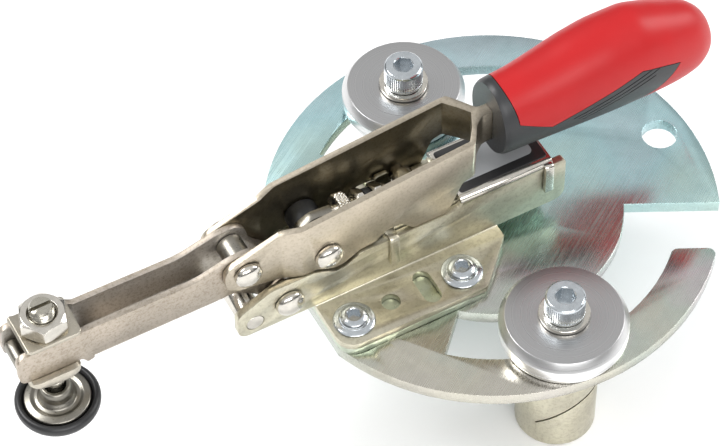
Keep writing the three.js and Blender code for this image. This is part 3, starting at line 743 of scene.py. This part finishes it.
def grip_sections():
    """Station, centre height, half width and half height of the grip, read off its CAD rings."""
    rings = {}
    for node in ("grip_core", "grip_overmould"):
        for vertex in nodes[node].data.vertices:
            rings.setdefault(round(vertex.co.x / MM, 1), set()).add(
                (round(vertex.co.y / MM, 2), round(vertex.co.z / MM, 2)))
    sections = []
    for x in sorted(rings):
        if len(rings[x]) >= 20:
            low = min(z for _, z in rings[x])
            high = max(z for _, z in rings[x])
            wide = max(abs(y) for y, _ in rings[x])
            sections.append((x, (low + high) / 2, wide, (high - low) / 2))
    return sections


def hermite(xs, ys, x):
    """Smooth monotone curve through the points (xs, ys)."""
    k = max(i for i in range(len(xs) - 1) if xs[i] <= x or i == 0)
    slopes = [(ys[i + 1] - ys[i]) / (xs[i + 1] - xs[i]) for i in range(len(xs) - 1)]

    def tangent(i):
        if i == 0 or i == len(xs) - 1:
            return slopes[min(i, len(slopes) - 1)]
        before, after = slopes[i - 1], slopes[i]
        return 0 if before * after <= 0 else 2 * before * after / (before + after)

    span = xs[k + 1] - xs[k]
    t = (x - xs[k]) / span
    a = (1 + 2 * t) * (1 - t) ** 2
    b = t * (1 - t) ** 2
    c = t * t * (3 - 2 * t)
    d = t * t * (t - 1)
    return a * ys[k] + b * span * tangent(k) + c * ys[k + 1] + d * span * tangent(k + 1)


def grip_loft(name, sections, shrink=0.0, around=112, step=0.9):
    """The grip's outer form, or one shrunk by some millimetres."""
    xs = [s[0] for s in sections]
    count = round((xs[-1] - xs[0]) / step)
    stations = [xs[0] + (xs[-1] - xs[0]) * k / count for k in range(count + 1)]
    points = []
    for x in stations:
        centre, wide, tall = (hermite(xs, [s[i] for s in sections], x) for i in (1, 2, 3))
        for k in range(around):
            angle = 2 * math.pi * k / around
            points.append((x, (wide - shrink) * math.cos(angle),
                           centre + (tall - shrink) * math.sin(angle)))
    first = len(points)
    points += [(stations[0], 0, sections[0][1]), (stations[-1] + 0.35, 0, sections[-1][1])]
    faces = []
    for k in range(around):
        n = (k + 1) % around
        for ring in range(count):
            low, high = ring * around, (ring + 1) * around
            faces.append([low + k, low + n, high + n, high + k])
        faces.append([first, n, k])
        faces.append([first + 1, count * around + k, count * around + n])
    return made_mesh(name, points, faces)


def bowed(start, end, bow, steps=6):
    """Points from start to end along a shallow arc that bows to the left by bow."""
    start, end = Vector(start), Vector(end)
    left = Vector((start.y - end.y, end.x - start.x)).normalized()
    return [tuple(start.lerp(end, k / steps) + left * bow * 4 * (k / steps) * (1 - k / steps))
            for k in range(steps)]


PANEL_START = (14.5, 45)
PANEL_CORNER = (46.5, 54.9)
PANEL_TIP = (61.6, 50)


def collar_side(offset, top):
    """Side outline of the collar: its edge slopes down to the start of the panel."""
    corner = (3.2 + offset, 51.2 + top)
    edge = PANEL_START[0] + offset
    return [(-20, 0), (edge, 0), (edge, PANEL_START[1] + top), corner,
            *bowed(corner, (1 + offset, 62 + top), -0.35)[1:], (1 + offset, 62 + top),
            (0.4 + offset, 95), (-20, 95)]


def panel_side(inset, top):
    """Side outline of the tapering panel on the grip's flank."""
    lift = top - inset
    tip = (PANEL_TIP[0] - inset * 1.5, PANEL_TIP[1] - inset * 0.3 + top)
    corner = (PANEL_CORNER[0], PANEL_CORNER[1] + lift)
    start = (PANEL_START[0], PANEL_START[1] + lift)
    return [(10, 20), (36, 20 + inset), *bowed((44, 34.5 + inset + top), tip, -1.3), tip,
            *bowed((60.8 - inset, 50.4 + lift), corner, -0.25), *bowed(corner, start, -0.2), start,
            (10, start[1])]


def grip():
    """Anthracite core and red sleeve, parted by a fine seam; three grooves on each flank's panel."""
    sections = grip_sections()
    top = box_mm("base_disc")[1][2]
    whole = grip_loft("grip_core_fine", sections)
    tang = box_mm("handle_strap")[1][0] + 0.4
    room = prism("tang_room", [(-30, 37 + top), (tang, 39.6 + top), (tang, 50.4 + top), (-30, 52.4 + top)],
                 -2.3, 2.3, sideways)
    keep = prism("keep", collar_side(-0.12, top), -30, 30, sideways)
    panels = [prism("panel", panel_side(0.25, top), *span, sideways) for span in ((8, 30), (-30, -8))]
    pockets = [prism("pocket", panel_side(0, top), *span, sideways) for span in ((7.7, 30), (-30, -7.7))]
    core = carved(whole.copy(), joined([keep, *panels]), "INTERSECT")
    inner = grip_loft("inner", sections, 0.28)
    slope = (PANEL_CORNER[1] - PANEL_START[1]) / (PANEL_CORNER[0] - PANEL_START[0])
    groove_width = 0.42
    for drop in (3.1, 4.9, 6.7):
        front = 19 + drop
        rear = 57.5 - drop * 0.9
        low = 45.6 - drop + (4.5 + drop) * slope + top
        high = low + slope * (rear - front)
        strip = [(front, low), (rear, high), (rear, high + groove_width), (front, low + groove_width)]
        for span in ((8.5, 30), (-30, -8.5)):
            groove = carved(prism("groove", strip, *span, sideways), inner.copy())
            core = carved(core, groove)
    core = carved(core, room.copy())
    sleeve = carved(whole, prism("cut", collar_side(0.12, top), -30, 30, sideways))
    for pocket in pockets:
        sleeve = carved(sleeve, pocket)
    sleeve = carved(sleeve, room)
    for node, mesh in (("grip_core", core), ("grip_overmould", sleeve)):
        mesh.name = f"{node}_fine"
        piece = new_object(f"{node}_fine", smooth(mesh, 40), node, surface_of(node))
        rounded(piece, 0.18, 45)
        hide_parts(node)


def joined(meshes):
    """One mesh holding all the given solids."""
    build = bmesh.new()
    for mesh in meshes:
        build.from_mesh(mesh)
    result = bpy.data.meshes.new("joined")
    build.to_mesh(result)
    build.free()
    return result


def label_panel():
    """Plain grey field inside the label's dark border."""
    low, high = (Vector(c) for c in box_mm("cover_label"))
    border = 3.2
    front_border = 1.2
    corner = 2.0
    points = []
    for k in range(4):
        turn = math.radians(90 * k)
        x = (high.x - border - corner) if k in (0, 3) else (low.x + front_border + corner)
        y = (high.y - border - corner) if k in (0, 1) else (low.y + border + corner)
        points += [(x + corner * math.cos(turn + math.radians(15 * n)),
                    y + corner * math.sin(turn + math.radians(15 * n))) for n in range(7)]
    mesh = prism("label_panel", points, high.z - 0.02, high.z + 0.05, upright)
    new_object("label_panel", mesh, "cover_label", label_grey)


# ---- all pieces -----------------------------------------------------------------------------------

spindle()
spindle_nut()
knurled_nut()
foot()
grip()
label_panel()
stud_thread()
rivets = ("arm_pivot_rivet", "handle_rivet_front", "handle_rivet_rear")
for node in rivets:
    rivet(node)
cross_cylinder("arm_end_pin", 0.4)
cross_cylinder("arm_bush", 0.3, 3.2)
screws = [f"flange_screw_{end}_{side}" for end in ("front", "rear") for side in SIDES]
for node in screws:
    flange_screw(node)
for side in SIDES:
    boss(side)

remade = {*rivets, *screws, "spindle", "spindle_nut", "knurled_nut", "foot_disc", "foot_rubber",
          "grip_core", "grip_overmould", "arm_end_pin", "arm_bush"}
remade |= {f"boss_{part}_{side}" for part in ("cap", "washer", "screw") for side in SIDES}
plain_edge = 0.2
soft_edges = {"rear_cover": 0.4, "clamp_arm": 0.25, "handle_strap": 0.28, "base_disc": 0.3,
              "saddle_washer_upper": 0.3, "saddle_washer_lower": 0.4, "link_eye": 0.4}
for name in nodes:
    if name not in remade:
        refined(name, soft_edges.get(name, plain_edge))

# ---- floor and light ----------------------------------------------------------------------------

floor_mesh = bpy.data.meshes.new("floor")
half = 6.0
ground = cad_box[0][2]
floor_mesh.from_pydata([(-half, -half, ground), (half, -half, ground), (half, half, ground),
                        (-half, half, ground)], [], [(0, 1, 2, 3)])
floor = bpy.data.objects.new("floor", floor_mesh)
bpy.context.scene.collection.objects.link(floor)
paper = Surface("floor_paper", Roughness=0.9)
paper.colour(paper.ramp(paper.noise(300, 2, 0.5), [(0.3, (0.91, 0.91, 0.91)), (0.7, (0.94, 0.94, 0.94))]))
floor_mesh.materials.append(paper.material)

world = bpy.data.worlds.new("studio")
bpy.context.scene.world = world
world.use_nodes = True
sky = world.node_tree.nodes
sky_links = world.node_tree.links
split = sky.new("ShaderNodeSeparateXYZ")
sky_links.new(sky.new("ShaderNodeTexCoord").outputs["Generated"], split.inputs[0])
gradient = sky.new("ShaderNodeValToRGB")
bands = gradient.color_ramp.elements
greys = ((0.0, 0.1), (0.16, 0.14), (0.42, 0.6), (0.72, 0.84), (1.0, 0.8))
while len(bands) < len(greys):
    bands.new(0.5)
for band, (at, grey) in zip(bands, greys):
    band.position = at
    band.color = (grey, grey, grey, 1)
sky_links.new(split.outputs["Z"], gradient.inputs["Fac"])
sky_links.new(gradient.outputs["Color"], sky["Background"].inputs["Color"])


def softbox(name, place, size, power):
    """A rectangular light that faces the origin."""
    light = bpy.data.lights.new(name, "AREA")
    light.shape = "RECTANGLE"
    light.size, light.size_y = size
    light.energy = power
    box = bpy.data.objects.new(name, light)
    bpy.context.scene.collection.objects.link(box)
    box.location = place
    box.rotation_euler = (-Vector(place)).to_track_quat("-Z", "Y").to_euler()


softbox("key", (-1.1, 0.9, 1.5), (0.9, 0.9), 30)
softbox("front", (-0.4, -1.5, 0.9), (1.6, 0.6), 18)
softbox("side", (1.6, -0.3, 0.9), (0.8, 0.8), 16)

bpy.context.scene.view_settings.view_transform = "Standard"
